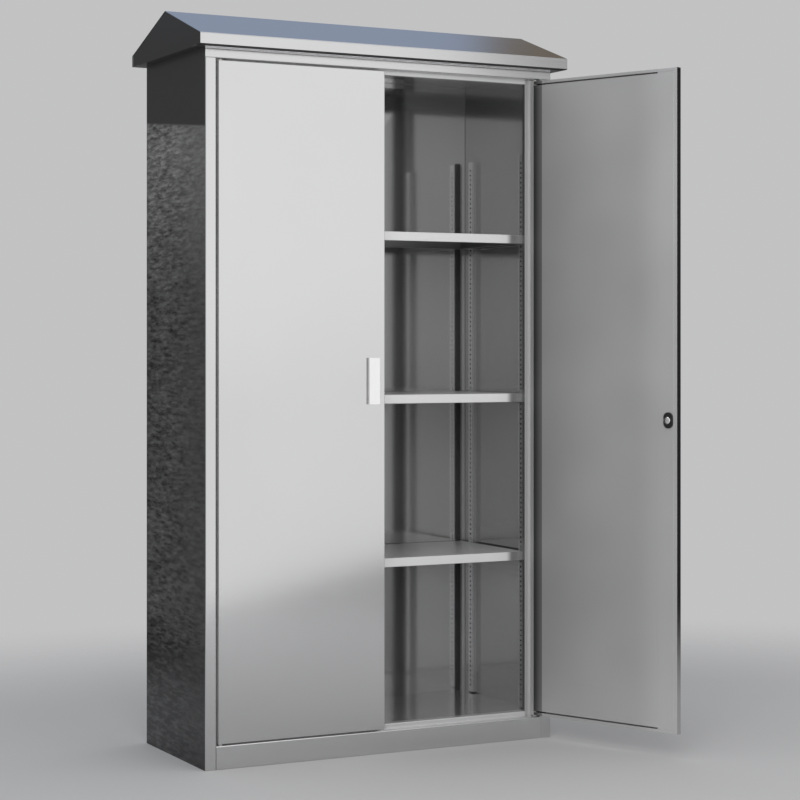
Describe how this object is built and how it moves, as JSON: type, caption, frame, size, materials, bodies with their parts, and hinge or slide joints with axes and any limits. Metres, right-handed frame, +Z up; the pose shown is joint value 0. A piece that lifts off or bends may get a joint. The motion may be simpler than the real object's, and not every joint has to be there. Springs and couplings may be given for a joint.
{
  "type": "outdoor storage cabinet",
  "caption": "Tall sheet-steel storage cabinet with a pitched roof, hinged doors with pulls, a key lock that drives locking rods, flush bolts, and lift-out shelves on slotted uprights.",
  "frame": {"origin": "on the floor, under the middle of the body's width and depth", "axes": "+Z up, +Y towards the back panel so the doors face -Y, +X towards the lock door's hinges"},
  "size_m": [1.1748, 0.8634, 1.9155],
  "materials": {
    "satin_steel": "satin, faintly clouded sheet steel",
    "upright_steel": "satin, a little darker",
    "zinc_steel": "bright zinc plating",
    "pale_pull_finish": "semi-gloss near-white paint",
    "black_plastic": "satin black",
    "nylon": "natural nylon",
    "lock_chrome": "polished"
  },
  "bodies": {
    "carcass": {"left_side_panel": "satin_steel", "right_side_panel": "satin_steel", "back_panel": "satin_steel", "top_panel": "satin_steel", "header_rail": "satin_steel", "plinth_rail": "satin_steel", "floor_panel": "satin_steel", "rear_base_rail": "upright_steel", "base_brace": "upright_steel", "roof_cover": "satin_steel", "left_roof_gable": "satin_steel", "right_roof_gable": "satin_steel", "front_left_upright": "upright_steel", "front_right_upright": "upright_steel", "rear_left_upright": "upright_steel", "rear_right_upright": "upright_steel", "lower_front_left_clip": "zinc_steel", "lower_front_right_clip": "zinc_steel", "lower_rear_left_clip": "zinc_steel", "lower_rear_right_clip": "zinc_steel", "middle_front_left_clip": "zinc_steel", "middle_front_right_clip": "zinc_steel", "middle_rear_left_clip": "zinc_steel", "middle_rear_right_clip": "zinc_steel", "upper_front_left_clip": "zinc_steel", "upper_front_right_clip": "zinc_steel", "upper_rear_left_clip": "zinc_steel", "upper_rear_right_clip": "zinc_steel", "left_top_pivot_pin": "zinc_steel", "left_bottom_pivot_pin": "zinc_steel", "right_top_pivot_pin": "zinc_steel", "right_bottom_pivot_pin": "zinc_steel"},
    "left_door": {"left_door_shell": "satin_steel", "left_door_liner": "satin_steel", "left_door_edge_stile": "satin_steel", "left_door_pull": "pale_pull_finish", "left_top_pivot_bush": "nylon", "left_bottom_pivot_bush": "nylon", "upper_flush_bolt_guide": "nylon", "lower_flush_bolt_guide": "nylon"},
    "upper_bolt": {"upper_flush_bolt": "zinc_steel"},
    "lower_bolt": {"lower_flush_bolt": "zinc_steel"},
    "right_door": {"right_door_shell": "satin_steel", "right_door_liner": "satin_steel", "right_door_edge_stile": "satin_steel", "right_door_pull": "pale_pull_finish", "right_top_pivot_bush": "nylon", "right_bottom_pivot_bush": "nylon", "lock_housing": "lock_chrome", "lock_cover": "black_plastic", "upper_rod_guide": "nylon", "lower_rod_guide": "nylon"},
    "lock_spindle": {"lock_plug": "lock_chrome", "lock_driver": "zinc_steel", "spindle_cap": "lock_chrome"},
    "upper_rod": {"upper_lock_rod": "zinc_steel"},
    "lower_rod": {"lower_lock_rod": "zinc_steel"},
    "lower_shelf_pan": {"lower_shelf": "satin_steel"},
    "middle_shelf_pan": {"middle_shelf": "satin_steel"},
    "upper_shelf_pan": {"upper_shelf": "satin_steel"}
  },
  "joints": [
    {"name": "left_door_hinge", "type": "hinge", "parent": "carcass", "child": "left_door", "pos_m": [-0.4567, -0.201, 0.9164], "axis": [0, 0, -1], "range_deg": [0, 115]},
    {"name": "right_door_hinge", "type": "hinge", "parent": "carcass", "child": "right_door", "pos_m": [0.4567, -0.201, 0.9164], "axis": [0, 0, 1], "range_deg": [-113, 2]},
    {"name": "lock_turn", "type": "hinge", "parent": "right_door", "child": "lock_spindle", "pos_m": [0.6247, -0.59677, 0.866], "axis": [0.9205, 0.3907, 0], "range_deg": [0, 90]},
    {"name": "upper_rod_slide", "type": "slide", "parent": "right_door", "child": "upper_rod", "axis": [0, 0, 1], "range_m": [0, 0.01499]},
    {"name": "lower_rod_slide", "type": "slide", "parent": "right_door", "child": "lower_rod", "axis": [0, 0, -1], "range_m": [0, 0.015]},
    {"name": "upper_bolt_slide", "type": "slide", "parent": "left_door", "child": "upper_bolt", "axis": [0, 0, 1], "range_m": [0, 0.015]},
    {"name": "lower_bolt_slide", "type": "slide", "parent": "left_door", "child": "lower_bolt", "axis": [0, 0, -1], "range_m": [0, 0.015]},
    {"name": "lower_shelf_lift", "type": "slide", "parent": "carcass", "child": "lower_shelf_pan", "axis": [0, 0, 1], "range_m": [0, 0.03]},
    {"name": "middle_shelf_lift", "type": "slide", "parent": "carcass", "child": "middle_shelf_pan", "axis": [0, 0, 1], "range_m": [0, 0.03]},
    {"name": "upper_shelf_lift", "type": "slide", "parent": "carcass", "child": "upper_shelf_pan", "axis": [0, 0, 1], "range_m": [0, 0.03]}
  ],
  "couplings": [
    {"joint": "lock_turn", "follows": "upper_rod_slide", "rad_per_m": 104.82},
    {"joint": "lower_rod_slide", "follows": "upper_rod_slide", "ratio": 1}
  ]
}
